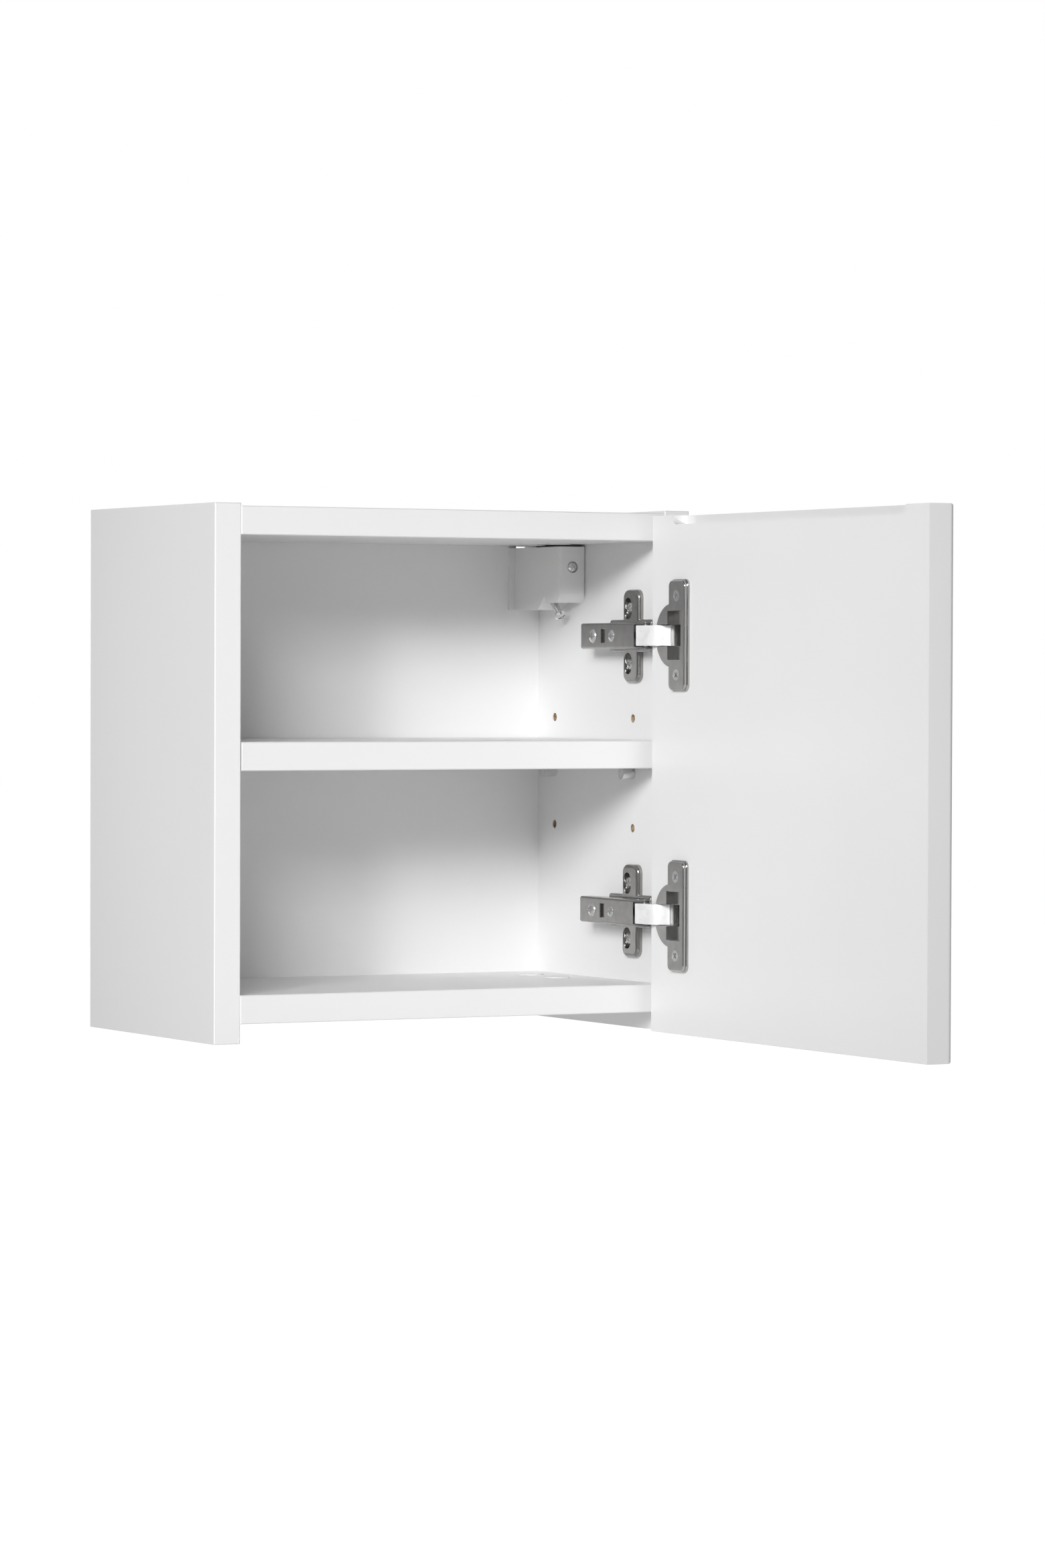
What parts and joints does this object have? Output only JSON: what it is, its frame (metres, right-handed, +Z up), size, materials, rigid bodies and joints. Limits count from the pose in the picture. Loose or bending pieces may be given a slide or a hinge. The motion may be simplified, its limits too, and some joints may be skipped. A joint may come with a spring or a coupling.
{
  "type": "hanging wall cabinet",
  "caption": "Small white hanging wall cabinet with an adjustable shelf, a side-hung door on concealed cup hinges and adjustable hidden wall hangers.",
  "frame": {"origin": "on the wall plane, at mid width, level with the feet of the side panels", "axes": "+X to the right seen from the front, +Y towards the wall, +Z up"},
  "size_m": [0.301, 0.4773, 0.3],
  "materials": {
    "white_foil_board": "white melamine foil, satin",
    "white_shelf_board": "white melamine foil, satin",
    "white_back_board": "white painted hardboard",
    "white_door_board": "white satin foil over fibreboard",
    "beech_dowel": "plain beech, fluted look",
    "zinc_casting": "raw zinc casting",
    "white_cap_plastic": "white moulded",
    "zinc_plated_steel": "bright zinc plate",
    "nickel_plated_steel": "nickel plate, pressed sheet",
    "steel_pin": "ground steel",
    "spring_steel": "blue-grey spring strip",
    "white_hanger_plastic": "white moulded",
    "galvanised_steel": "galvanised sheet"
  },
  "bodies": {
    "carcass": {"back_panel": "white_back_board", "bottom_panel": "white_foil_board", "cam_caps": "white_cap_plastic", "cam_locks": "zinc_casting", "connecting_bolts": "zinc_plated_steel", "dowels": "beech_dowel", "left_hanger_case": "white_hanger_plastic", "lower_adjusting_screw": "zinc_plated_steel", "lower_arm_pins": "steel_pin", "lower_fixing_screw": "zinc_plated_steel", "lower_hinge_arm": "nickel_plated_steel", "lower_mounting_plate": "nickel_plated_steel", "lower_plate_screws": "zinc_plated_steel", "right_hanger_case": "white_hanger_plastic", "shelf": "white_shelf_board", "shelf_supports": "zinc_plated_steel", "side_panel_left": "white_foil_board", "side_panel_right": "white_foil_board", "top_panel": "white_foil_board", "upper_adjusting_screw": "zinc_plated_steel", "upper_arm_pins": "steel_pin", "upper_fixing_screw": "zinc_plated_steel", "upper_hinge_arm": "nickel_plated_steel", "upper_mounting_plate": "nickel_plated_steel", "upper_plate_screws": "zinc_plated_steel"},
    "outer_links": {"lower_outer_link": "nickel_plated_steel", "upper_outer_link": "nickel_plated_steel"},
    "door": {"door": "white_door_board", "lower_hinge_cup": "nickel_plated_steel", "lower_cup_pin": "steel_pin", "lower_cup_screws": "zinc_plated_steel", "lower_closing_spring": "spring_steel", "upper_hinge_cup": "nickel_plated_steel", "upper_cup_pin": "steel_pin", "upper_cup_screws": "zinc_plated_steel", "upper_closing_spring": "spring_steel"},
    "inner_links": {"lower_inner_link": "nickel_plated_steel", "upper_inner_link": "nickel_plated_steel"},
    "left_carrier": {"left_hook_carrier": "galvanised_steel"},
    "left_hook": {"left_hook": "galvanised_steel"},
    "left_depth_screw": {"left_depth_screw": "zinc_plated_steel"},
    "left_height_screw": {"left_height_screw": "zinc_plated_steel"},
    "right_carrier": {"right_hook_carrier": "galvanised_steel"},
    "right_hook": {"right_hook": "galvanised_steel"},
    "right_depth_screw": {"right_depth_screw": "zinc_plated_steel"},
    "right_height_screw": {"right_height_screw": "zinc_plated_steel"}
  },
  "joints": [
    {"name": "outer_link_swing", "type": "hinge", "parent": "carcass", "child": "outer_links", "pos_m": [0.122, -0.17243, 0.148], "axis": [0, 0, 1], "range_deg": [-2.21, 39.89]},
    {"name": "door_swing", "type": "hinge", "parent": "outer_links", "child": "door", "pos_m": [0.129, -0.1901, 0.148], "axis": [0, 0, 1], "range_deg": [-130.2, 7.4]},
    {"name": "inner_link_swing", "type": "hinge", "parent": "carcass", "child": "inner_links", "pos_m": [0.126, -0.172, 0.148], "axis": [0, 0, 1], "range_deg": [-3.5, 60.2]},
    {"name": "left_depth_slide", "type": "slide", "parent": "carcass", "child": "left_carrier", "axis": [0, 1, 0], "range_m": [-0.003, 0.003]},
    {"name": "left_height_slide", "type": "slide", "parent": "left_carrier", "child": "left_hook", "axis": [0, 0, 1], "range_m": [-0.003, 0.003]},
    {"name": "left_depth_screw_turn", "type": "hinge", "parent": "carcass", "child": "left_depth_screw", "pos_m": [-0.12575, -0.077, 0.269], "axis": [0, 1, 0], "range_deg": [-1081, 1081]},
    {"name": "left_height_screw_turn", "type": "hinge", "parent": "carcass", "child": "left_height_screw", "pos_m": [-0.12575, -0.0535, 0.2482], "axis": [0, -0.7507, -0.6606], "range_deg": [-1081, 1081]},
    {"name": "right_depth_slide", "type": "slide", "parent": "carcass", "child": "right_carrier", "axis": [0, 1, 0], "range_m": [-0.003, 0.003]},
    {"name": "right_height_slide", "type": "slide", "parent": "right_carrier", "child": "right_hook", "axis": [0, 0, 1], "range_m": [-0.003, 0.003]},
    {"name": "right_depth_screw_turn", "type": "hinge", "parent": "carcass", "child": "right_depth_screw", "pos_m": [0.12575, -0.077, 0.269], "axis": [0, 1, 0], "range_deg": [-1081, 1081]},
    {"name": "right_height_screw_turn", "type": "hinge", "parent": "carcass", "child": "right_height_screw", "pos_m": [0.12575, -0.0535, 0.2482], "axis": [0, -0.7507, -0.6606], "range_deg": [-1081, 1081]}
  ],
  "couplings": [
    {"joint": "door_swing", "follows": "outer_link_swing", "ratio": -3.2563},
    {"joint": "inner_link_swing", "follows": "outer_link_swing", "ratio": 1.5042},
    {"joint": "left_depth_screw_turn", "follows": "left_depth_slide", "rad_per_m": 6283.2},
    {"joint": "left_height_screw_turn", "follows": "left_height_slide", "rad_per_m": 6283.2},
    {"joint": "right_depth_screw_turn", "follows": "right_depth_slide", "rad_per_m": 6283.2},
    {"joint": "right_height_screw_turn", "follows": "right_height_slide", "rad_per_m": 6283.2}
  ]
}
